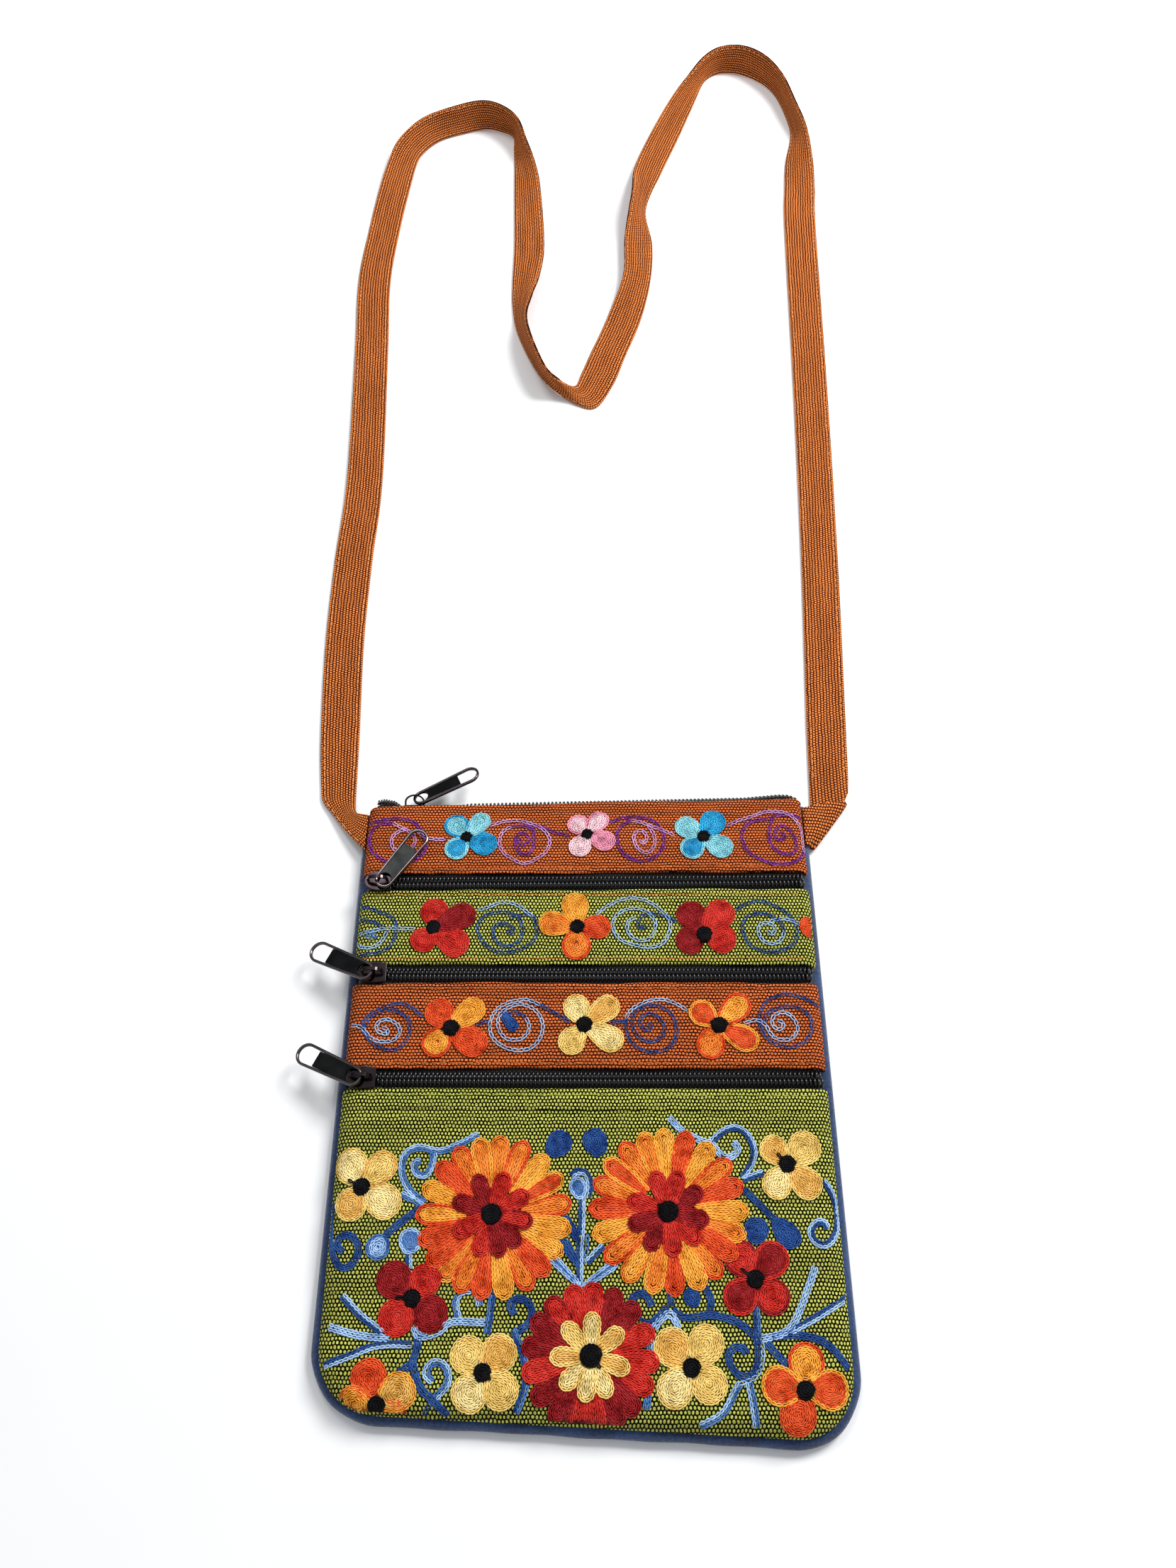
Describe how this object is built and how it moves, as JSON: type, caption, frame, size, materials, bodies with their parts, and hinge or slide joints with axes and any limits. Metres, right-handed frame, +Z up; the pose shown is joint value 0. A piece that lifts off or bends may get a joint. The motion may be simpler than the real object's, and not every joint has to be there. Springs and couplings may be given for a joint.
{
  "type": "travel document pouch",
  "caption": "Flat cloth crossbody pouch for travel papers, with zipped pockets across its embroidered front, a zipped mouth and a long flat shoulder strap laid out beyond it.",
  "frame": {"origin": "on the table under the middle of the back panel", "axes": "+X across the pouch to the right, +Y towards the mouth and the strap, +Z up out of the embroidered front"},
  "size_m": [0.2545, 0.7411, 0.019],
  "materials": {
    "suede_navy": "napped suede cloth",
    "weave_green": "two-colour plain weave",
    "weave_orange": "two-colour plain weave",
    "tape_black": "woven zip tape",
    "coil_black": "nylon coil",
    "gunmetal": "dark polished plating",
    "webbing_orange": "woven webbing"
  },
  "bodies": {
    "pouch": {"back_panel": "suede_navy", "front_panel": "weave_green", "band_lower": "weave_orange", "band_middle": "weave_green", "band_upper": "weave_orange", "zip_top_tape_1": "tape_black", "zip_top_tape_2": "tape_black", "zip_top_coil": "coil_black", "zip_top_slider": "gunmetal", "zip_upper_tape_1": "tape_black", "zip_upper_tape_2": "tape_black", "zip_upper_coil": "coil_black", "zip_upper_slider": "gunmetal", "zip_middle_tape_1": "tape_black", "zip_middle_tape_2": "tape_black", "zip_middle_coil": "coil_black", "zip_middle_slider": "gunmetal", "zip_lower_tape_1": "tape_black", "zip_lower_tape_2": "tape_black", "zip_lower_coil": "coil_black", "zip_lower_slider": "gunmetal", "strap": "webbing_orange"},
    "zip_top_pull": {"zip_top_pull": "gunmetal"},
    "zip_upper_pull": {"zip_upper_pull": "gunmetal"},
    "zip_middle_pull": {"zip_middle_pull": "gunmetal"},
    "zip_lower_pull": {"zip_lower_pull": "gunmetal"}
  },
  "joints": [
    {"name": "top_pull_swing", "type": "hinge", "parent": "pouch", "child": "zip_top_pull", "pos_m": [-0.071, 0.1155, 0.00681], "axis": [0, -0.342, 0.9397], "range_deg": [-5, 115]},
    {"name": "upper_pull_swing", "type": "hinge", "parent": "pouch", "child": "zip_upper_pull", "pos_m": [-0.0822, 0.07745, 0.0152], "axis": [0, -1, 0], "range_deg": [0, 165]},
    {"name": "middle_pull_swing", "type": "hinge", "parent": "pouch", "child": "zip_middle_pull", "pos_m": [-0.0812, 0.0397, 0.01559], "axis": [0, 1, 0], "range_deg": [0, 165]},
    {"name": "lower_pull_swing", "type": "hinge", "parent": "pouch", "child": "zip_lower_pull", "pos_m": [-0.0819, -0.0003, 0.016], "axis": [0, 1, 0], "range_deg": [0, 165]}
  ]
}
